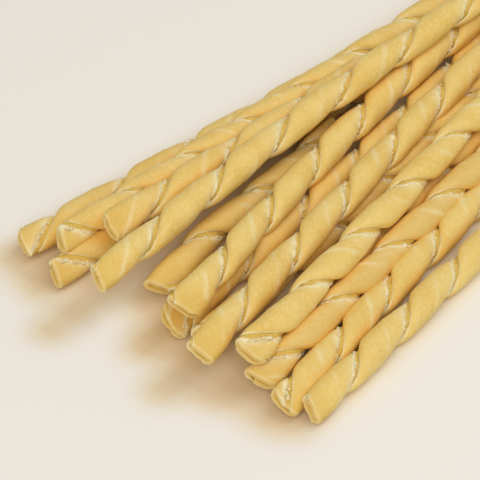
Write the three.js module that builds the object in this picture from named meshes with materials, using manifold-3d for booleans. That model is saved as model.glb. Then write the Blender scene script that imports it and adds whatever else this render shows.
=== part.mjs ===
// A loose bundle of long fusilli lying on a table: dried pasta strands, each a thick ribbon rolled
// into a nearly closed tube and twisted, so that its open seam runs round it like a screw thread.
//
// Millimetres, +Z up, the table at z = 0. The strands run along +Y. Their near ends, at -Y, lie
// fanned out; the strands draw together at the waist of the bundle and run on nearly side by side.
// The bundle is one solid: the strands fused together, with a small core under the waist.

import * as THREE from 'three';
import Module from 'manifold-3d';

// ---- Sizes shared by all strands ----------------------------------------------------------
const STRAND_RADIUS = 3.0;        // centre line to the crest of the twist
const SEAM_RADIUS = 1.9;          // centre line to the bottom of the seam
const SIDES = 5;                  // sides of a strand, and also rings in one turn of its seam
const LONG = 205;                 // length of a whole strand
const WAIST_BEND = 24;            // length over which a strand turns at the waist
const SETTLE = 80;                // length over which a strand changes from one height to the other
const SEEN_SEAM = 57;             // degrees from +X towards +Z at which a seam faces the viewer

// ---- The strands --------------------------------------------------------------------------
// x, y, z     the near end's centre, z above the lowest crests
// out, back   heading of the near and the far half, in degrees from +Y towards +X
// waist       distance along the strand at which it turns from the one heading to the other
// rest        height of the far half's centre line, above the lowest crests too
// sway        sideways sway of the near half, towards +X
// hand        +1 where the seam climbs over the strand from +X to -X as it runs on, -1 the other way
// pitch       length of one turn of the seam
// seam        distance from the near end to the first place where the seam faces the viewer
const strands = [
  // The lowest layer, from left to right.
  { x: -33.1, y: -104.2, z: 3.0, out: 10.6, back: -1.5, waist: 107.2, rest: 3.0, sway: 0.0,
    length: LONG - 2.4, hand: 1, pitch: 16.5, seam: 11.2 },
  { x: -23.4, y: -106.1, z: 3.0, out: 8.2, back: -1.0, waist: 100.6, rest: 3.0, sway: 0.0,
    length: LONG + 2.0, hand: -1, pitch: 16.0, seam: 5.6 },
  { x: -6.5, y: -96.5, z: 3.2, out: -6.5, back: -1.0, waist: 40.0, rest: 3.0, sway: -0.8,
    length: 54.0, hand: -1, pitch: 16.5, seam: 16.0 },
  { x: 1.1, y: -102.1, z: 3.0, out: -1.7, back: 0.0, waist: 91.1, rest: 3.0, sway: 1.2,
    length: LONG - 1.5, hand: 1, pitch: 16.0, seam: 6.1 },
  { x: 8.4, y: -101.5, z: 3.0, out: -0.9, back: -0.5, waist: 91.0, rest: 3.0, sway: 0.0,
    length: LONG - 0.6, hand: -1, pitch: 16.0, seam: 6.0 },
  { x: 16.9, y: -93.0, z: 3.0, out: -2.9, back: -0.5, waist: 85.0, rest: 3.0, sway: 0.0,
    length: LONG - 8.6, hand: -1, pitch: 16.5, seam: 5.0 },
  { x: 22.5, y: -102.9, z: 4.2, out: -2.0, back: -1.5, waist: 92.2, rest: 5.0, sway: 0.0,
    length: LONG + 0.6, hand: -1, pitch: 17.0, seam: 8.0 },
  { x: 28.6, y: -103.7, z: 3.0, out: -2.8, back: -1.0, waist: 91.2, rest: 3.0, sway: -1.0,
    length: LONG + 1.6, hand: 1, pitch: 15.6, seam: 1.6 },
  { x: 33.1, y: -101.5, z: 3.0, out: -0.8, back: 0.5, waist: 91.0, rest: 3.0, sway: 0.0,
    length: LONG - 2.6, hand: 1, pitch: 15.0, seam: 12.2 },
  // The second layer, in the hollows of the first.
  { x: -25.8, y: -101.1, z: 8.0, out: 8.6, back: -1.0, waist: 99.6, rest: 8.0, sway: 0.0,
    length: LONG + 3.0, hand: -1, pitch: 14.4, seam: 6.6 },
  { x: -19.3, y: -95.3, z: 9.4, out: 7.7, back: 7.7, waist: 52.1, rest: 9.4, sway: 0.0,
    length: 64.1, hand: 1, pitch: 17.0, seam: 16.1 },
  { x: 4.1, y: -101.3, z: 8.4, out: -6.0, back: 0.0, waist: 80.7, rest: 7.9, sway: -1.2,
    length: LONG + 1.1, hand: 1, pitch: 15.7, seam: 13.3 },
  { x: 12.6, y: -107.4, z: 8.0, out: -5.8, back: 0.0, waist: 96.9, rest: 7.5, sway: 0.0,
    length: LONG + 4.3, hand: 1, pitch: 16.8, seam: 13.6 },
  { x: 19.6, y: -102.4, z: 8.5, out: -5.2, back: -1.0, waist: 99.2, rest: 8.2, sway: 0.4,
    length: LONG + 0.6, hand: -1, pitch: 16.0, seam: 5.0 },
  // The one on top, across the others.
  { x: -11.1, y: -107.4, z: 11.0, out: 4.0, back: 2.0, waist: 101.8, rest: 13.2, sway: -1.6,
    length: LONG + 5.2, hand: 1, pitch: 17.5, seam: 14.5 },
];

// ---- The core -----------------------------------------------------------------------------
const CORE_LENGTH = 60;           // along the strands, across the waist
const CORE_LEFT = -12.5;
const CORE_RIGHT = 31;            // just inside the strand on the far right
const CORE_HEIGHT = 2.6;          // below the middle of the lowest strands
const CORE_FOOT = 0.25;           // how far the core reaches below the lowest crests

const PASTA = new THREE.MeshStandardMaterial({ color: 0xe2c16c, roughness: 0.75, metalness: 0 });

const rad = THREE.MathUtils.degToRad;

// The centre line at the distance s from the near end. Two straight runs meet in a soft corner at
// the waist, by w ln(1 + e^((s - waist) / w)), which is 0 well before it and s - waist beyond it.
function centre(strand, s) {
  const soft = WAIST_BEND / 2;
  const beyond = soft * Math.log1p(Math.exp((s - strand.waist) / soft));
  const sway = strand.sway * Math.sin(2 * Math.PI * s / strand.length);
  const settled = THREE.MathUtils.smoothstep(s, 0, SETTLE);
  return new THREE.Vector3(
    strand.x + Math.tan(rad(strand.out)) * (s - beyond) + Math.tan(rad(strand.back)) * beyond + sway,
    strand.y + s,
    CORE_FOOT + THREE.MathUtils.lerp(strand.z, strand.rest, settled),
  );
}

// A strand's skin. Its rings lie across Y, a SIDES-th of a turn of the seam apart, and its long
// edges run straight, so that in every ring the seam passes through one corner, the next one
// round from the corner before. The two ends are closed by flat faces.
function strandGeometry(strand) {
  const step = strand.pitch / SIDES;
  const rings = Math.round(strand.length / step) + 1;
  const spacing = strand.length / (rings - 1);
  const firstSeam = rad(SEEN_SEAM - strand.hand * 360 * strand.seam / strand.pitch);
  const positions = [];
  for (let ring = 0; ring < rings; ring++) {
    const middle = centre(strand, ring * spacing);
    for (let side = 0; side < SIDES; side++) {
      const angle = firstSeam + 2 * Math.PI * side / SIDES;
      const onSeam = (strand.hand * ring - side) % SIDES === 0;
      const radius = onSeam ? SEAM_RADIUS : STRAND_RADIUS;
      positions.push(
        middle.x + radius * Math.cos(angle),
        middle.y,
        middle.z + radius * Math.sin(angle),
      );
    }
  }
  const triangles = [];
  const corner = (ring, side) => ring * SIDES + (side + SIDES) % SIDES;
  for (let ring = 0; ring < rings - 1; ring++) {
    for (let side = 0; side < SIDES; side++) {
      const a = corner(ring, side);
      const b = corner(ring, side + 1);
      const c = corner(ring + 1, side);
      const d = corner(ring + 1, side + 1);
      // The diagonal follows the seam.
      if (strand.hand > 0) {
        triangles.push(a, d, b, a, c, d);
      } else {
        triangles.push(a, c, b, b, c, d);
      }
    }
  }
  for (let side = 1; side < SIDES - 1; side++) {
    triangles.push(corner(0, 0), corner(0, side), corner(0, side + 1));
    triangles.push(corner(rings - 1, 0), corner(rings - 1, side + 1), corner(rings - 1, side));
  }
  const geometry = new THREE.BufferGeometry();
  geometry.setAttribute('position', new THREE.Float32BufferAttribute(positions, 3));
  geometry.setIndex(triangles);
  return geometry;
}

// The core: a low plate. It joins the strands that lie a gap apart; those that touch are fused
// where they touch. Its flat underside is what the bundle rests on, steadier than a row of crests.
function coreGeometry() {
  const geometry = new THREE.BoxGeometry(CORE_RIGHT - CORE_LEFT, CORE_LENGTH, CORE_HEIGHT);
  geometry.translate((CORE_LEFT + CORE_RIGHT) / 2, 0, CORE_HEIGHT / 2);
  return geometry;
}

// ---- Fusing -------------------------------------------------------------------------------
const wasm = await Module();
wasm.setup();

// Corners that share a place are joined first, so that the skin is one closed surface.
function toSolid(geometry) {
  const place = geometry.getAttribute('position');
  const index = geometry.getIndex();
  const count = index ? index.count : place.count;
  const seen = new Map();
  const corners = [];
  const triangles = [];
  for (let i = 0; i < count; i++) {
    const from = index ? index.getX(i) : i;
    const point = [place.getX(from), place.getY(from), place.getZ(from)];
    const key = point.map((value) => value.toFixed(4)).join();
    if (!seen.has(key)) {
      seen.set(key, seen.size);
      corners.push(...point);
    }
    triangles.push(seen.get(key));
  }
  return new wasm.Manifold(new wasm.Mesh({
    numProp: 3,
    vertProperties: new Float32Array(corners),
    triVerts: new Uint32Array(triangles),
  }));
}

let bundle = toSolid(coreGeometry());
for (const strand of strands) {
  bundle = bundle.add(toSolid(strandGeometry(strand)));
}

const fused = bundle.getMesh();
const bundleGeometry = new THREE.BufferGeometry();
bundleGeometry.setAttribute('position', new THREE.BufferAttribute(fused.vertProperties, 3));
bundleGeometry.setIndex(new THREE.BufferAttribute(fused.triVerts, 1));

const fusilli = new THREE.Mesh(bundleGeometry, PASTA);
fusilli.name = 'fusilli_bundle';

const group = new THREE.Group();
group.add(fusilli);
export default group;
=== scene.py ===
"""A loose bundle of long fusilli on a pale table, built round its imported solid.

Lengths are in millimetres until a mesh is made, and angles in degrees. +Y runs along the strands, +Z is up
and the table is at z = 0.
"""

import bpy
import numpy as np
from mathutils import Matrix, Vector


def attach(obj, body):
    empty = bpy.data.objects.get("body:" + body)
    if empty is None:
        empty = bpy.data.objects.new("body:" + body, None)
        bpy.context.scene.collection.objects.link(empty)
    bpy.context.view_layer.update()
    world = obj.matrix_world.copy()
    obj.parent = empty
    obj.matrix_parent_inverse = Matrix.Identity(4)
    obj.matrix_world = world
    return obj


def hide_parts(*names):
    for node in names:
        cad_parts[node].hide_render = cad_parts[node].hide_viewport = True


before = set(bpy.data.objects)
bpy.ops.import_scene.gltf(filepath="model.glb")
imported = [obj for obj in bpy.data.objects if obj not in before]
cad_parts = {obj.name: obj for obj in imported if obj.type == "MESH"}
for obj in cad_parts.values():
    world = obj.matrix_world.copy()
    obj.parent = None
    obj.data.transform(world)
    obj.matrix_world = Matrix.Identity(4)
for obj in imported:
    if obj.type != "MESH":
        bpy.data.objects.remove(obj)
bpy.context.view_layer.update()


# ---- The lowest strands ---------------------------------------------------------------------------
# Eight strands of dried durum wheat pasta, the lowest of the bundle. Each is a thick ribbon, rolled into a
# nearly closed tube and twisted while it was soft, so that its open seam runs round it like a screw
# thread, then cut to length and dried. Nothing holds them together.

METRES = 0.001  # metres in a millimetre
STRAND_RADIUS = 3.0
WALL = 1.7  # thickness of the ribbon
LIP_WALL = 1.15  # the same at its two edges
TORN_LIP_DROP = 0.85  # how far the torn edge dives under the strand's round
TORN_LIP_TURN = 75.0  # degrees round the strand over which it does
CLEAN_LIP_DROP = 0.55
CLEAN_LIP_TURN = 26.0
LIP_PRESSED = 0.85  # share of those drops that the cutter pressed out of an end
SEAM_TORN = 31.0  # degrees from the seam's middle to the torn edge
SEAM_CLEAN = 11.0  # and to the clean one
TORN_AT = 0.7  # the torn edge's distance from the strand's middle, as a share of STRAND_RADIUS
CLEAN_AT = 0.8  # the same of the clean edge
CREASE = 165.0  # degrees from the seam to the faint crease along the ribbon
WAIST_BEND = 24.0  # length over which a strand turns at the waist
SETTLE = 80.0  # length over which it changes from one height to the other
SEEN_SEAM = 57.0  # degrees from +X towards +Z at which a seam faces the viewer
PINCH_LENGTH = 10.0  # length of a strand's end that the cutter squeezed
PRESSED_THINNER = 0.48  # share of the wall that is pressed away at the cut
SLIT = 0.1  # width that the squeezed hollow keeps
THINNEST = 0.3  # least half wall on the inside of a squeezed end
CUT_ROUNDING = 0.22  # share of the wall that is rounded off at a cut and at the clean edge
CUT_BOW = 0.9  # how far the sides of a cut lie behind its middle, CUT_BOW_AT from it
CUT_BOW_AT = 3.2
RIM = np.array([0.0, 0.06, 0.16, 0.32])  # distances of the close rings from a cut
EVEN_FROM = 0.6  # distance from a cut at which the even rings begin
RING_STEP = 0.36  # between the even rings
OUTER_POINTS = 25  # round the outside of a ring
INNER_POINTS = 12  # round its hollow
EDGE_CROWDING = 0.8  # how far those points crowd towards the ribbon's edges: 0 is evenly, 1 the most
CLEAN_OVERHANG = 2.2  # degrees that the middle of the clean edge stands out beyond its corners
# The slope from the torn edge down into the seam: degrees beyond the edge, and the height within the
# wall, where 1 is the ribbon's outside, 0 its middle and -1 its inside.
TORN_SLOPE = [(52.0, 0.2), (44.0, 0.7), (30.0, 0.6), (17.0, 0.65), (5.0, 0.9)]
SLOPE_ROUGHNESS = 0.3  # random part of that height


def waves(along, across, spacing, chance):
    """Smooth random heights from -1 to 1 over two directions: a random height at each corner of a grid
    that is `spacing` = (along, across) wide, and an eased blend h = t t (3 - 2 t) between the corners."""
    places = []
    for where, gap in ((along, spacing[0]), (across, spacing[1])):
        place = where / gap
        corner = np.floor(place).astype(int)
        part = place - corner
        places.append((corner, part * part * (3 - 2 * part)))
    (row, down), (column, right) = places
    heights = chance.uniform(-1, 1, (int(row.max()) + 2, int(column.max()) + 2))
    near = heights[row, column] * (1 - right) + heights[row, column + 1] * right
    far = heights[row + 1, column] * (1 - right) + heights[row + 1, column + 1] * right
    return near * (1 - down) + far * down


def waves_along(s, spacing, chance):
    """The same heights along the strand only, one every `spacing` millimetres."""
    return waves(s, 0 * s, (spacing, 1), chance)


def centre_line(strand, s):
    """The strand's middle at the distance s from its near end. Two straight runs meet in a soft corner
    at the waist by w ln(1 + e^((s - waist) / w)), and the height eases from z to rest."""
    soft = WAIST_BEND / 2
    beyond = soft * np.log1p(np.exp((s - strand["waist"]) / soft))
    settled = np.clip(s / SETTLE, 0, 1)
    settled = settled * settled * (3 - 2 * settled)
    x = strand["x"] + np.tan(np.radians(strand["out"])) * (s - beyond)
    x += np.tan(np.radians(strand["back"])) * beyond
    x += strand["sway"] * np.sin(2 * np.pi * s / strand["length"])
    z = strand["z"] + (strand["rest"] - strand["z"]) * settled
    return np.stack([x, strand["y"] + s, z], axis=-1)


def crossways(strand, s):
    """The strand's own three directions at s: sideways, upwards and along. Along is the slope of the
    centre line, and the other two are +X and +Z made square to it."""
    along = centre_line(strand, s + 0.5) - centre_line(strand, s - 0.5)
    along /= np.linalg.norm(along, axis=-1, keepdims=True)
    side = np.array([1.0, 0.0, 0.0]) - along * along[:, :1]
    side /= np.linalg.norm(side, axis=-1, keepdims=True)
    up = np.cross(side, along)
    return side, up, along


def torn_edge(strand, s):
    """Degrees from the seam's middle to the ribbon's torn edge: a mean value plus two random waves, one
    of 6 degrees every 0.75 mm and one of 7 degrees every 3.1 mm."""
    chance = np.random.default_rng([strand["seed"], 1])
    fine = 6 * waves_along(s, 0.75, chance)
    broad = 7 * waves_along(s, 3.1, chance)
    return SEAM_TORN + fine + broad


def ribbon_middle(strand, s, turn, torn, clean, pressed):
    """The middle of the ribbon's wall, across the strand, `turn` degrees round from the seam. It runs on a
    rounded slot: two half circles joined by straight sides, which is a plain circle where the cutter has
    not pressed. The same share of its length belongs to each degree. Towards the ribbon's edges the
    middle sinks along the slot's normal by a drop times e^-((degrees to the edge) / width)^k, with k = 1.4
    at the torn edge and 2 at the clean one."""
    squeeze, spread, direction = (np.where(s < strand["length"] / 2, strand["near"][k], strand["far"][k])
                                  for k in range(3))
    circle = STRAND_RADIUS - WALL / 2
    bend = circle * (1 - squeeze * pressed)
    straight = circle * (1 + spread * pressed) - bend
    angle = SEEN_SEAM + strand["hand"] * (360 * (s - strand["seam"]) / strand["pitch"] + turn)
    angle = np.radians(angle - direction - 90)
    quarter = np.arcsin(np.clip(np.abs(np.sin(angle)), 0, 1)) / (np.pi / 2)
    walked = quarter * (np.pi / 2 * bend + straight)
    round_part = np.clip(walked / bend, 0, np.pi / 2)
    normal_wide = np.cos(round_part) * np.sign(np.cos(angle))
    normal_flat = -np.sin(round_part) * np.sign(np.sin(angle))
    level = straight - np.clip(walked - np.pi / 2 * bend, 0, None)
    wide = bend * normal_wide + level * np.sign(np.cos(angle))
    flat = bend * normal_flat
    sunk = TORN_LIP_DROP * np.exp(-(np.clip(turn - torn, 0, None) / TORN_LIP_TURN) ** 1.4)
    sunk = sunk + CLEAN_LIP_DROP * np.exp(-(np.clip(clean - turn, 0, None) / CLEAN_LIP_TURN) ** 2)
    sunk = sunk * (1 - LIP_PRESSED * pressed)
    wide = wide - sunk * normal_wide
    flat = flat - sunk * normal_flat
    direction = np.radians(direction)
    x = flat * np.cos(direction) - wide * np.sin(direction)
    z = flat * np.sin(direction) + wide * np.cos(direction)
    return x, z


def strand_skin(strand):
    """The closed skin of one strand on a grid: rings along its centre line, and round each ring first the
    ribbon's outside, then its clean edge, its inside and its torn edge. A point is the ribbon's middle
    plus or minus half the wall along the normal, and the normal is the middle line's slope turned by 90
    degrees. Returns the points, the faces along the strand, those of its two cuts, and three tints of the
    dough from 0 to 1: starch by the torn edge, the clean edge, the crease and the cuts, a darker gold
    painted as shade in the seam and the hollow and also laid on the pressed ends, and the strand's own
    tone."""
    chance = np.random.default_rng(strand["seed"])
    length = strand["length"]
    s = np.linspace(EVEN_FROM, length - EVEN_FROM, int((length - 2 * EVEN_FROM) / RING_STEP) + 1)
    s = np.concatenate([RIM, s, length - RIM[::-1]])[:, None]
    count = len(s)

    # The two edges of the ribbon wander, the torn one far more.
    torn = torn_edge(strand, s)
    clean = 360 - SEAM_CLEAN + 1.5 * waves_along(s, 5, chance)
    to_end = np.minimum(s, length - s)
    pressed = np.clip(1 - to_end / PINCH_LENGTH, 0, 1)
    pressed = pressed * pressed * (3 - 2 * pressed)
    squeeze = np.where(s < length / 2, strand["near"][0], strand["far"][0])

    # The torn edge stands up in flakes of two sizes.
    flakes = 0.38 * np.clip(waves_along(s, 0.6, chance) + 0.3, 0, 1)
    flakes = flakes + 0.3 * np.clip(waves_along(s, 1.7, chance) + 0.1, 0, 1)

    def across(points):
        share = np.linspace(0, 1, points)
        share = share - EDGE_CROWDING * np.sin(2 * np.pi * share) / (2 * np.pi)
        return torn + (clean - torn) * share

    def wall(turn, side):
        """One face of the ribbon: side is 1 for its outside, -1 for its inside and between them within it."""
        x, z = ribbon_middle(strand, s, turn, torn, clean, pressed)
        x1, z1 = ribbon_middle(strand, s, turn + 0.5, torn, clean, pressed)
        x0, z0 = ribbon_middle(strand, s, turn - 0.5, torn, clean, pressed)
        slope = np.hypot(x1 - x0, z1 - z0) * strand["hand"]
        to_torn = np.radians(turn - torn) * STRAND_RADIUS * TORN_AT
        to_clean = np.radians(clean - turn) * STRAND_RADIUS * CLEAN_AT
        lips = np.exp(-((to_torn / 0.8) ** 2)) + np.exp(-((to_clean / 0.6) ** 2))
        half = WALL / 2 - (WALL - LIP_WALL) / 2 * lips
        half = half * (1 - PRESSED_THINNER * pressed)
        half = half * (1 - CUT_ROUNDING * np.clip(1 - to_end / 0.3, 0, 1) ** 2)
        half = half * (1 - CUT_ROUNDING * np.clip(1 - to_clean / 0.12, 0, 1) ** 2)
        if np.ndim(side) == 0 and side < 0:
            # The inside closes to a slit where the end was squeezed.
            closed = (STRAND_RADIUS - WALL / 2) * (1 - squeeze) - SLIT / 2
            closed = closed - 0.12 * np.exp(-((to_end / 0.35) ** 2))
            half = half + (np.clip(closed, THINNEST, None) - half) * pressed ** 2
        if np.ndim(side) == 0 and side > 0:
            # The outside has its crease, a slight unevenness and the flakes.
            half = half + 0.06 * np.exp(-(((turn - CREASE) / 6) ** 2))
            half = half + 0.05 * waves(s, turn, (4, 60), chance)
            half = half + flakes * (1 - 0.8 * pressed) * np.exp(-to_torn / 0.42)
        return x + side * half * (z1 - z0) / slope, z - side * half * (x1 - x0) / slope

    outer = across(OUTER_POINTS)
    edge = clean + CLEAN_OVERHANG
    inner = across(INNER_POINTS)[:, ::-1]
    tongue = [(torn - beyond, height) for beyond, height in TORN_SLOPE]
    turn = np.concatenate([outer, edge, inner] + [place for place, _ in tongue], axis=1)
    walls = [wall(outer, 1), wall(edge, 0), wall(inner, -1)]
    for place, height in tongue:
        walls.append(wall(place, height + SLOPE_ROUGHNESS * waves_along(s, 0.7, chance)))
    x = np.concatenate([face[0] for face in walls], axis=1)
    z = np.concatenate([face[1] for face in walls], axis=1)

    # The cutter went through at a slant, so that one side of an end stands out further, and tore it.
    shift = 0 * x
    for end, sense in ((strand["near"], -1), (strand["far"], 1)):
        weight = pressed * ((s - length / 2) * sense > 0)
        toward = np.radians(end[4])
        reach = x * np.cos(toward) + z * np.sin(toward)
        wide = z * np.cos(np.radians(end[2])) - x * np.sin(np.radians(end[2]))
        shift = shift + sense * weight * (end[3] * reach - CUT_BOW * (wide / CUT_BOW_AT) ** 4)
        shift = shift + sense * 0.2 * waves(0 * x, turn, (1, 30), chance) * weight ** 6

    side, up, along = (direction[:, None, :] for direction in crossways(strand, s[:, 0]))
    points = centre_line(strand, s[:, 0])[:, None, :]
    points = points + side * x[..., None] + up * z[..., None] + along * shift[..., None]

    around = points.shape[1]
    ring = np.arange(count - 1)[:, None] * around
    here = np.arange(around)[None, :]
    there = (here + 1) % around
    quads = [ring + here, ring + around + here, ring + around + there, ring + there]
    quads = np.stack(quads, axis=-1).reshape(-1, 4)
    # Each cut is a strip of small pentagons between the ribbon's outside and its inside, and one face at
    # each of the ribbon's edges.
    first = np.arange(0, OUTER_POINTS - 1, 2)
    inner_end = OUTER_POINTS + INNER_POINTS
    pair = inner_end - first // 2
    caps = np.stack([first, first + 1, first + 2, pair - 1, pair], axis=-1)
    clean_lip = np.array([[OUTER_POINTS - 1, OUTER_POINTS, OUTER_POINTS + 1]])
    torn_lip = np.concatenate([[0], np.arange(inner_end, around)])[None, :]
    last = (count - 1) * around
    cut = [caps, clean_lip, torn_lip]
    if strand["hand"] < 0:
        quads = quads[:, ::-1]
        cut = [array[:, ::-1] for array in cut]
    ends = cut + [array[:, ::-1] + last for array in cut]

    # `past` is the distance beyond the torn edge, down into the seam.
    past = np.radians(torn - turn) * STRAND_RADIUS * TORN_AT
    to_clean = np.abs(np.radians(clean - turn)) * STRAND_RADIUS * CLEAN_AT
    starch = np.exp(-(np.clip(-past, 0, None) / 0.8) ** 2 - (np.clip(past, 0, None) / 0.3) ** 2)
    starch = starch * (0.8 + 0.5 * waves_along(s, 0.7, chance))
    dust = 0.34 * np.exp(-((past / 2.2) ** 2)) * (0.6 + 0.6 * waves_along(s, 1.7, chance))
    starch = starch + dust * (past <= 0)
    starch = starch + 0.8 * np.exp(-((to_clean / 0.3) ** 2))
    streak = np.exp(-(((turn - CREASE) / 8) ** 2)) * np.clip(waves_along(s, 2.3, chance) + 0.35, 0, 1)
    starch = starch + 0.55 * streak
    starch = starch + 0.35 * np.exp(-((to_end / 0.3) ** 2)) * np.ones_like(turn)
    # Painted shade: a darker gold down in the seam and in the hollow. The pressed ends get some of it as
    # well.
    golden = 0.5 * pressed ** 2 + 0.9 * np.clip(past / 0.3, 0, 1)
    inside = slice(OUTER_POINTS, inner_end + 1)
    starch[:, inside] *= 0.2
    golden[:, inside] = 1
    tints = {
        "starch": np.clip(starch, 0, 1),
        "tone": strand["tone"] + 0 * turn,
        "golden": np.clip(golden, 0, 1),
    }
    return points.reshape(-1, 3), quads, ends, tints


def closed_piece(name, points, polygons, material, floats=(), flat=()):
    """A mesh object at the origin from points in millimetres and from arrays of polygons, each array with
    its own number of corners. `flat` numbers the arrays that are shaded flat."""
    corners = np.concatenate([array.ravel() for array in polygons])
    sizes = np.concatenate([np.full(len(array), array.shape[1]) for array in polygons])
    smooth = [np.full(len(array), number not in flat) for number, array in enumerate(polygons)]
    mesh = bpy.data.meshes.new(name)
    mesh.vertices.add(len(points))
    mesh.vertices.foreach_set("co", (points * METRES).astype(np.float32).ravel())
    mesh.loops.add(len(corners))
    mesh.loops.foreach_set("vertex_index", corners.astype(np.int32))
    mesh.polygons.add(len(sizes))
    mesh.polygons.foreach_set("loop_start", np.concatenate([[0], np.cumsum(sizes)[:-1]]).astype(np.int32))
    mesh.polygons.foreach_set("loop_total", sizes.astype(np.int32))
    mesh.polygons.foreach_set("use_smooth", np.concatenate(smooth))
    mesh.update(calc_edges=True)
    for label, values in floats:
        mesh.attributes.new(label, "FLOAT", "POINT").data.foreach_set("value", values.astype(np.float32))
    mesh.materials.append(material)
    piece = bpy.data.objects.new(name, mesh)
    bpy.context.scene.collection.objects.link(piece)
    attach(piece, "root")
    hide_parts("fusilli_bundle")
    return piece


def strands_piece(name, strands, material):
    """The skins of several strands as one mesh. The cuts are shaded flat, and the rest smooth."""
    points, polygons, flat, tints = [], [], [], []
    start = 0
    for strand in strands:
        skin, quads, ends, tint = strand_skin(strand)
        points.append(skin)
        polygons.append(quads + start)
        flat.extend(range(len(polygons), len(polygons) + len(ends)))
        polygons.extend(array + start for array in ends)
        tints.append(tint)
        start += len(skin)
    floats = [(label, np.concatenate([tint[label].ravel() for tint in tints])) for label in tints[0]]
    return closed_piece(name, np.concatenate(points), polygons, material, floats, flat)


DOUGH_DEEP = (0.87, 0.61, 0.16)
DOUGH_PALE = (0.92, 0.70, 0.235)
MEAL = (0.95, 0.82, 0.46)
DOUGH_TINTS = (
    ("tone", (0.74, 0.50, 0.16)),
    # among: painted shade and warm light between the strands
    ("among", (0.98, 0.57, 0.11)),
    # golden: a darker gold painted as shade in the seam and the hollow, and laid on the pressed ends
    ("golden", (0.76, 0.52, 0.11)),
    ("starch", (0.98, 0.89, 0.58)),
)


def dried_pasta():
    """Dried durum dough: a warm yellow, slightly clear, with paler and deeper clouds a few millimetres
    wide, fine pale grains of meal and a rough skin. The colour is then blended in turn with each tint by
    the attribute of its name: the strand's tone, the painted shade and warm light among the strands, the
    darker gold painted as shade inside the seam and the hollow, and the white starch."""
    material = bpy.data.materials.new("dried_pasta")
    material.use_nodes = True
    nodes, links = material.node_tree.nodes, material.node_tree.links
    shader = nodes["Principled BSDF"]
    place = nodes.new("ShaderNodeTexCoord")

    def noise(size, detail, roughness=0.5):
        texture = nodes.new("ShaderNodeTexNoise")
        texture.inputs["Scale"].default_value = 1000 / size
        texture.inputs["Detail"].default_value = detail
        texture.inputs["Roughness"].default_value = roughness
        links.new(place.outputs["Object"], texture.inputs["Vector"])
        return texture.outputs["Fac"]

    def ramp(value, stops):
        steps = nodes.new("ShaderNodeValToRGB")
        steps.color_ramp.elements[0].position = stops[0][0]
        steps.color_ramp.elements[0].color = (*stops[0][1], 1)
        steps.color_ramp.elements[1].position = stops[1][0]
        steps.color_ramp.elements[1].color = (*stops[1][1], 1)
        links.new(value, steps.inputs["Fac"])
        return steps.outputs["Color"]

    def blend(amount, first, second):
        mix = nodes.new("ShaderNodeMix")
        mix.data_type = "RGBA"
        links.new(amount, mix.inputs[0])
        links.new(first, mix.inputs[6])
        mix.inputs[7].default_value = (*second, 1)
        return mix.outputs[2]

    clouds = ramp(noise(7, 3), [(0.35, DOUGH_DEEP), (0.65, DOUGH_PALE)])
    grains = ramp(noise(0.6, 3, 0.65), [(0.45, (0, 0, 0)), (0.75, (0.6, 0.6, 0.6))])
    colour = blend(grains, clouds, MEAL)
    for label, tint in DOUGH_TINTS:
        amount = nodes.new("ShaderNodeAttribute")
        amount.attribute_name = label
        colour = blend(amount.outputs["Fac"], colour, tint)
    links.new(colour, shader.inputs["Base Color"])

    dull = ramp(noise(3, 2), [(0.3, (0.5, 0.5, 0.5)), (0.7, (0.66, 0.66, 0.66))])
    links.new(dull, shader.inputs["Roughness"])
    shader.inputs["Specular IOR Level"].default_value = 0.35
    shader.inputs["Subsurface Weight"].default_value = 0.4
    shader.inputs["Subsurface Radius"].default_value = (1.0, 0.9, 0.75)
    shader.inputs["Subsurface Scale"].default_value = 0.00025

    skin = nodes.new("ShaderNodeBump")
    skin.inputs["Strength"].default_value = 0.8
    skin.inputs["Distance"].default_value = 0.0001
    links.new(noise(0.35, 3, 0.6), skin.inputs["Height"])
    lumps = nodes.new("ShaderNodeBump")
    lumps.inputs["Strength"].default_value = 0.5
    lumps.inputs["Distance"].default_value = 0.0002
    links.new(noise(1.3, 2), lumps.inputs["Height"])
    links.new(skin.outputs["Normal"], lumps.inputs["Normal"])
    links.new(lumps.outputs["Normal"], shader.inputs["Normal"])
    return material


# x, y, z      the near end's centre
# out, back    heading of the near and the far half, in degrees from +Y towards +X
# waist        distance along the strand at which it turns from the one heading to the other
# rest         height of the far half's centre line above the table
# sway         sideways sway of the near half, towards +X
# hand         1 where the seam climbs over the strand from +X to -X as it runs on, -1 the other way
# pitch, seam  one turn of the seam, and where it first faces the viewer
# near, far    each cut end: how flat it is squeezed, how far it spreads, the direction it is squeezed
#              in, the cut's slope and the side that stands out; directions from +X towards +Z
# seed, tone   of its random draws, and how far its dough goes to the browner tint, from 0 to 1
LONG = 205.0  # length of a whole strand, more or less
lowest_left = [
    dict(x=-33.1, y=-104.2, z=3.0, out=10.6, back=-1.5, waist=107.2, rest=3.0, sway=0.0,
         length=LONG - 2.4, hand=1, pitch=16.5, seam=5.0, seed=11, tone=0.2,
         near=(0.76, 0.18, 62, 0.24, -79), far=(0.72, 0.3, 110, 0.2, 150)),
    dict(x=-23.4, y=-106.1, z=3.0, out=8.2, back=-1.0, waist=100.6, rest=3.0, sway=0.0,
         length=LONG + 2.0, hand=-1, pitch=16.0, seam=5.6, seed=12, tone=0.35,
         near=(0.70, 0.12, 50, 0.27, -77), far=(0.75, 0.35, 70, 0.2, 20)),
    dict(x=1.1, y=-102.1, z=3.0, out=-1.7, back=0.0, waist=91.1, rest=3.0, sway=1.2,
         length=LONG - 1.5, hand=1, pitch=16.0, seam=6.1, seed=14, tone=0.1,
         near=(0.78, 0.55, 52, 0.20, -96), far=(0.74, 0.3, 120, 0.3, -60)),
    dict(x=8.4, y=-101.5, z=3.0, out=-0.9, back=-0.5, waist=91.0, rest=3.0, sway=0.0,
         length=LONG - 0.6, hand=-1, pitch=16.0, seam=6.0, seed=15, tone=0.05,
         near=(0.74, 0.30, 60, 0.21, -151), far=(0.76, 0.4, 80, 0.2, 200)),
]
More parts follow.
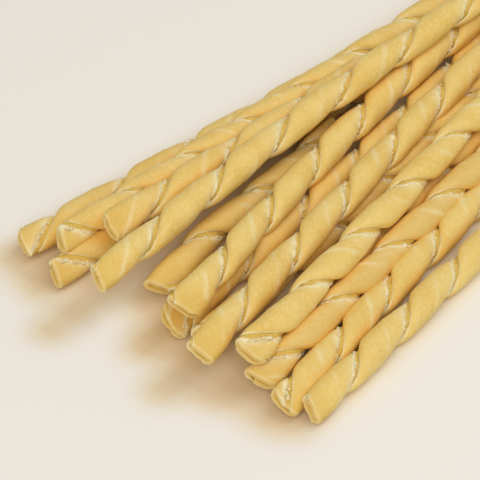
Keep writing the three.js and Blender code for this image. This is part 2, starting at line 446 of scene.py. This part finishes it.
lowest_right = [
    dict(x=16.9, y=-93.0, z=3.0, out=-2.9, back=-0.5, waist=85.0, rest=3.0, sway=0.0,
         length=LONG - 8.6, hand=-1, pitch=16.5, seam=5.0, seed=16, tone=0.45,
         near=(0.72, 0.30, 80, 0.11, 153), far=(0.72, 0.3, 40, 0.3, 120)),
    dict(x=22.5, y=-102.9, z=4.2, out=-2.0, back=-1.5, waist=92.2, rest=5.0, sway=0.0,
         length=LONG + 0.6, hand=-1, pitch=17.0, seam=8.0, seed=17, tone=0.4,
         near=(0.68, 0.25, 70, 0.27, -171), far=(0.74, 0.35, 105, 0.25, 0)),
    dict(x=28.6, y=-103.7, z=3.0, out=-2.8, back=-1.0, waist=91.2, rest=3.0, sway=-1.0,
         length=LONG + 1.6, hand=1, pitch=15.6, seam=1.6, seed=18, tone=0.05,
         near=(0.74, 0.30, 57, 0.18, -108), far=(0.78, 0.3, 65, 0.2, -40)),
    dict(x=33.1, y=-101.5, z=3.0, out=-0.8, back=0.5, waist=91.0, rest=3.0, sway=0.0,
         length=LONG - 2.6, hand=1, pitch=15.0, seam=12.2, seed=19, tone=0.0,
         near=(0.62, 0.15, 50, 0.33, -66), far=(0.70, 0.25, 90, 0.35, 170)),
]
pasta = dried_pasta()
pieces = [strands_piece("lowest_strands_left", lowest_left, pasta)]
pieces.append(strands_piece("lowest_strands_right", lowest_right, pasta))


# ---- The second layer -----------------------------------------------------------------------------
# Four more strands of the same pasta. They lie in the hollows of the lowest ones, held only by their
# own weight.

second_layer = [
    dict(x=-25.6, y=-101.7, z=7.1, out=8.4, back=-1.0, waist=99.6, rest=8.0, sway=0.0,
         length=LONG + 3.0, hand=-1, pitch=14.4, seam=4.2, seed=21, tone=0.15,
         near=(0.62, 0.05, 45, 0.28, -73), far=(0.75, 0.3, 85, 0.3, 60)),
    dict(x=3.6, y=-101.6, z=8.4, out=-5.6, back=0.0, waist=80.7, rest=7.9, sway=-1.3,
         length=LONG + 1.1, hand=1, pitch=15.7, seam=13.3, seed=23, tone=0.0,
         near=(0.78, 0.48, 57, 0.31, -178), far=(0.74, 0.35, 30, 0.2, 90)),
    dict(x=12.6, y=-107.4, z=8.0, out=-5.8, back=0.0, waist=96.9, rest=7.5, sway=0.0,
         length=LONG + 4.3, hand=1, pitch=16.8, seam=13.6, seed=24, tone=0.05,
         near=(0.70, 0.25, 62, 0.18, -138), far=(0.72, 0.3, 110, 0.3, 30)),
    dict(x=19.6, y=-102.4, z=8.5, out=-5.2, back=-1.0, waist=99.2, rest=8.2, sway=0.4,
         length=LONG + 0.6, hand=-1, pitch=16.0, seam=5.0, seed=25, tone=0.0,
         near=(0.66, 0.42, 57, 0.24, -167), far=(0.74, 0.3, 57, 0.2, -100)),
]
pieces.append(strands_piece("second_layer_strands", second_layer, pasta))


# ---- The short pieces -----------------------------------------------------------------------------
# Two short lengths of the same pasta lie among the others and end inside the bundle, one near the
# table and one over the second layer. Their far ends are out of sight, and are made like cut ones.

broken = [
    dict(x=-6.1, y=-96.7, z=3.4, out=-5.0, back=3.0, waist=40.0, rest=3.0, sway=-0.8,
         length=54.0, hand=-1, pitch=16.5, seam=16.0, seed=13, tone=0.15,
         near=(0.66, 0.20, 66, 0.53, 167), far=(0.70, 0.3, 20, 0.3, 90)),
    dict(x=-19.3, y=-95.3, z=9.4, out=7.7, back=7.7, waist=52.1, rest=9.4, sway=0.0,
         length=64.1, hand=1, pitch=17.0, seam=12.5, seed=22, tone=0.1,
         near=(0.76, 0.25, 57, 0.21, -89), far=(0.7, 0.3, 57, 0.3, 100)),
]
pieces.append(strands_piece("broken_pieces", broken, pasta))


# ---- The strand on top ----------------------------------------------------------------------------
# One strand of the same pasta lies across the others, over the hollow between the second layer's
# strands. Its near end reaches out over the ones below.

on_top = [
    dict(x=-11.1, y=-107.4, z=11.0, out=4.0, back=2.0, waist=101.8, rest=13.2, sway=-1.6,
         length=LONG + 5.2, hand=1, pitch=17.5, seam=14.5, seed=31, tone=0.0,
         near=(0.76, 0.10, 57, 0.34, -65), far=(0.74, 0.35, 57, 0.25, 147)),
]
pieces.append(strands_piece("top_strand", on_top, pasta))
every_strand = lowest_left + lowest_right + second_layer + broken + on_top

AMONG_REACH = 3.4  # how far from its skin a strand still gets the painted shade and warm light of its neighbours


def light_among(piece, strands):
    """Painted shade and warm light: a stand-in for the shade among the strands and for the light that
    comes to each point of a piece off or through the strands beside it. A spot r = AMONG_REACH out from
    the point is d from the middle of each strand, and the share is 1 - e^-(the square of the sum of
    e^-(d / r)^2)."""
    count = len(piece.data.vertices)
    point, normal = np.empty(count * 3, np.float32), np.empty(count * 3, np.float32)
    piece.data.vertices.foreach_get("co", point)
    piece.data.vertices.foreach_get("normal", normal)
    spot = point.reshape(-1, 3) * 1000 + AMONG_REACH * normal.reshape(-1, 3)
    total = np.zeros(count)
    for strand in strands:
        s = spot[:, 1] - strand["y"]
        middle = centre_line(strand, np.clip(s, 0, strand["length"]))
        total += np.exp(-(((spot - middle) ** 2).sum(axis=1)) / AMONG_REACH ** 2)
    share = 1 - np.exp(-total ** 2)
    piece.data.attributes.new("among", "FLOAT", "POINT").data.foreach_set("value", share.astype(np.float32))


for piece in pieces:
    light_among(piece, every_strand)


# ---- Starch crumbs --------------------------------------------------------------------------------
# Small crumbs of dry dough and starch cling to the torn edge of every ribbon, where it pulled apart
# as it was twisted and dried.

CRUMBS_PER_MM = 8.5
CRUMB_SIZE = 0.205
LARGEST_CRUMB = 0.28
CRUMB_SPREAD = 0.4  # of the sizes, as the spread of their logarithm
CRUMB_GATHERING = 0.5  # how far the larger crumbs gather in places
CRUMB_SKEW = 0.45  # random turn away from lying across the seam


def crumb_cloud(strands):
    """Small shards along the torn edges. Each is an octahedron whose corners are pushed in and out at
    random, longest across the seam, and turned from there by a random rotation. Most lie on the edge or up
    to 6 degrees outside it, and some up to 14 degrees down the slope. None reaches below the table."""
    chance = np.random.default_rng(77)
    corners = np.array([[1, 0, 0], [-1, 0, 0], [0, 1, 0], [0, -1, 0], [0, 0, 1], [0, 0, -1]])
    sides = np.array([[0, 2, 4], [2, 1, 4], [1, 3, 4], [3, 0, 4], [2, 0, 5], [1, 2, 5], [3, 1, 5], [0, 3, 5]])
    middles, frames, gathered = [], [], []
    for strand in strands:
        number = int(strand["length"] * CRUMBS_PER_MM)
        s = chance.uniform(0.3, strand["length"] - 0.3, number)
        past = 20 * np.abs(chance.uniform(-0.7, 1, number)) ** 2.5 - 6
        seam = 360 * (s - strand["seam"]) / strand["pitch"]
        angle = np.radians(SEEN_SEAM + strand["hand"] * (seam + torn_edge(strand, s) - past))
        radius = STRAND_RADIUS - TORN_LIP_DROP - WALL / 2 + LIP_WALL / 2 + chance.uniform(-0.06, 0.26, number)
        radius = radius - 0.3 * np.clip(past / 14, 0, 1)
        side_way, up, along = crossways(strand, s)
        out = side_way * np.cos(angle)[:, None] + up * np.sin(angle)[:, None]
        middles.append(centre_line(strand, s) + out * radius[:, None])
        frames.append(np.stack([np.cross(along, out), out, along], axis=-1))
        gathered.append(waves_along(s, 2.2, chance))
    middles, frames, gathered = (np.concatenate(parts) for parts in (middles, frames, gathered))
    number = len(middles)
    frames = np.linalg.qr(frames + chance.normal(0, CRUMB_SKEW, frames.shape))[0]
    frames[np.linalg.det(frames) < 0, :, 0] *= -1
    uneven = chance.normal(0, CRUMB_SPREAD, number)
    lengths = CRUMB_SIZE * np.exp(uneven + CRUMB_GATHERING * gathered)[:, None]
    lengths = np.minimum(lengths, LARGEST_CRUMB)
    lengths = lengths * chance.uniform([0.7, 0.5, 0.6], [2.0, 1.1, 1.5], (number, 3))
    shapes = corners[None] * chance.uniform(0.6, 1.2, (number, len(corners), 1)) * lengths[:, None, :]
    points = np.einsum("nij,nkj->nki", frames, shapes) + middles[:, None, :]
    points[..., 2] = np.maximum(points[..., 2], 0)
    start = (np.arange(number) * len(corners))[:, None, None]
    return points.reshape(-1, 3), [(sides[None] + start).reshape(-1, 3)]


STARCH_DEEP = (0.96, 0.81, 0.44, 1)
STARCH_PALE = (0.99, 0.93, 0.70, 1)


def dry_starch():
    """Crumbs of dry dough: a chalky cream white with a little yellow in it, in patches about 1 mm wide."""
    material = bpy.data.materials.new("dry_starch")
    material.use_nodes = True
    nodes, links = material.node_tree.nodes, material.node_tree.links
    shader = nodes["Principled BSDF"]
    place = nodes.new("ShaderNodeTexCoord")
    patches = nodes.new("ShaderNodeTexNoise")
    patches.inputs["Scale"].default_value = 900
    patches.inputs["Detail"].default_value = 2
    links.new(place.outputs["Object"], patches.inputs["Vector"])
    steps = nodes.new("ShaderNodeValToRGB")
    steps.color_ramp.elements[0].position = 0.4
    steps.color_ramp.elements[0].color = STARCH_DEEP
    steps.color_ramp.elements[1].position = 0.6
    steps.color_ramp.elements[1].color = STARCH_PALE
    links.new(patches.outputs["Fac"], steps.inputs["Fac"])
    links.new(steps.outputs["Color"], shader.inputs["Base Color"])
    shader.inputs["Roughness"].default_value = 0.5
    shader.inputs["Specular IOR Level"].default_value = 0.45
    return material


crumb_points, crumb_faces = crumb_cloud(every_strand)
closed_piece("starch_crumbs", crumb_points, crumb_faces, dry_starch())


# ---- The camera -----------------------------------------------------------------------------------
# It looks down at the near ends from the right of the bundle, from as far away as a long lens needs.

CAMERA_AZIMUTH = 40.0  # how far its view is turned from +Y towards -X
CAMERA_RISE = 45.0
CAMERA_DISTANCE = 450.0
PHOTO_WIDTH = 90.0  # seen across the picture at the target
SENSOR_WIDTH = 36.0
target = Vector((-5, -75, 0)) * METRES
azimuth, rise = np.radians(CAMERA_AZIMUTH), np.radians(CAMERA_RISE)
backward = Vector((np.sin(azimuth) * np.cos(rise), -np.cos(azimuth) * np.cos(rise), np.sin(rise)))
rightward = Vector((np.cos(azimuth), np.sin(azimuth), 0))
toward = Vector((np.sin(azimuth), -np.cos(azimuth), 0))
upward = Vector((0, 0, 1))


def facing_back(way, offset):
    """A matrix that stands a thing at the offset from the target and turns its back to `way`."""
    return Matrix.Translation(target + offset) @ way.to_track_quat("Z", "Y").to_matrix().to_4x4()


camera_data = bpy.data.cameras.new("camera")
camera_data.sensor_width = SENSOR_WIDTH
camera_data.lens = SENSOR_WIDTH * CAMERA_DISTANCE / PHOTO_WIDTH
camera_data.clip_start = 0.01
camera_data.clip_end = 20
camera = bpy.data.objects.new("camera", camera_data)
bpy.context.scene.collection.objects.link(camera)
camera.matrix_world = facing_back(backward, backward * CAMERA_DISTANCE * METRES)
bpy.context.scene.camera = camera


# ---- The light ------------------------------------------------------------------------------------
# Two soft round lamps and a pale warm room. The cooler one hangs high on the camera's right, a little
# away from it, and the stronger, warmer one high on its own side. Watts and metres.

WINDOW_RISE = 0.95
window_aside = rightward * 0.55 - toward * 0.12


def soft_lamp(name, size, energy, colour, way, distance):
    """A round area lamp that shines at the target from the direction `way`."""
    lamp_data = bpy.data.lights.new(name, "AREA")
    lamp_data.shape = "DISK"
    lamp_data.size = size
    lamp_data.energy = energy
    lamp_data.color = colour
    lamp = bpy.data.objects.new(name, lamp_data)
    bpy.context.scene.collection.objects.link(lamp)
    way = way.normalized()
    lamp.matrix_world = facing_back(way, way * distance)


soft_lamp("window_light", 0.7, 2.3, (0.93, 0.97, 1.0), window_aside + upward * WINDOW_RISE, 0.9)
soft_lamp("room_light", 1.0, 4.8, (1.0, 0.94, 0.85), toward * 0.7 - rightward * 0.15 + upward * 0.85, 1.1)

room = bpy.data.worlds.new("room")
room.use_nodes = True
room.node_tree.nodes["Background"].inputs["Color"].default_value = (1.0, 0.90, 0.74, 1)
room.node_tree.nodes["Background"].inputs["Strength"].default_value = 0.41
bpy.context.scene.world = room
bpy.context.scene.view_settings.view_transform = "Standard"


# ---- The table ------------------------------------------------------------------------------------
# A plain matt table, nearly white. It isn't part of the object. Its paint is tinted brown beside the
# strands: a painted warm shadow, in place of the strands' shade on it and of the light that comes off
# the pasta and through it.

TABLE_REACH = 3000  # from the middle to each edge
TINT_STEP = 2.5  # between the places at which the tint is worked out
TINT_WIDTH = 3.6
TINT_STRENGTH = 1.5
SHADOW_RISE = 0.7  # the tint falls as if the window light rose by this beside window_aside, not WINDOW_RISE
PAINT = (0.97, 0.975, 0.975, 1)
# Painted warm shadow: the table's colour where the tint is part way, and where it is full
PAINTED_SHADOW_NEAR = (0.88, 0.78, 0.62, 1)
PAINTED_SHADOW_DEEP = (0.74, 0.55, 0.31, 1)


def light_through(strands, x, y):
    """How far the table is tinted with painted warm shadow at each place. Every strand adds TINT_STRENGTH
    times e^-(distance / TINT_WIDTH)^2 to a sum, with the distance from the strand's shadow, and the
    result is 1 - e^-sum."""
    cast = -window_aside / SHADOW_RISE
    total = 0 * x
    for strand in strands:
        middle = centre_line(strand, np.linspace(0, strand["length"], 60))
        shadow = middle[:, :2] + middle[:, 2:] * np.array([cast.x, cast.y])
        distance = np.hypot(x[..., None] - shadow[:, 0], y[..., None] - shadow[:, 1]).min(axis=-1)
        total = total + TINT_STRENGTH * np.exp(-((distance / TINT_WIDTH) ** 2))
    return 1 - np.exp(-total)


fine_x = np.arange(-110, 111, TINT_STEP)
fine_y = np.arange(-170, 161, TINT_STEP)
grid_x, grid_y = np.meshgrid(
    np.concatenate([[-TABLE_REACH], fine_x, [TABLE_REACH]]),
    np.concatenate([[-TABLE_REACH], fine_y, [TABLE_REACH]]),
)
columns = grid_x.shape[1]
first = (np.arange(grid_x.shape[0] - 1)[:, None] * columns + np.arange(columns - 1)).reshape(-1, 1)
table_mesh = bpy.data.meshes.new("table_top")
corners = np.stack([grid_x, grid_y, 0 * grid_x], axis=-1).reshape(-1, 3) * METRES
table_mesh.from_pydata(corners.tolist(), [], (first + [0, 1, columns + 1, columns]).tolist())
# The share of painted warm shadow at each corner of the table.
warm = light_through(every_strand, grid_x, grid_y)
table_mesh.attributes.new("warm", "FLOAT", "POINT").data.foreach_set("value", warm.astype(np.float32).ravel())
table = bpy.data.objects.new("table_top", table_mesh)
bpy.context.scene.collection.objects.link(table)
table_paint = bpy.data.materials.new("table_paint")
table_paint.use_nodes = True
paint_nodes, paint_links = table_paint.node_tree.nodes, table_paint.node_tree.links
# The paint goes from white to the colours of the painted warm shadow.
warmth = paint_nodes.new("ShaderNodeAttribute")
warmth.attribute_name = "warm"
tint = paint_nodes.new("ShaderNodeValToRGB")
tint.color_ramp.elements[0].color = PAINT
tint.color_ramp.elements[-1].color = PAINTED_SHADOW_DEEP
tint.color_ramp.elements.new(0.6).color = PAINTED_SHADOW_NEAR
paint_links.new(warmth.outputs["Fac"], tint.inputs["Fac"])
paint_links.new(tint.outputs["Color"], paint_nodes["Principled BSDF"].inputs["Base Color"])
paint_nodes["Principled BSDF"].inputs["Roughness"].default_value = 0.6
table_mesh.materials.append(table_paint)
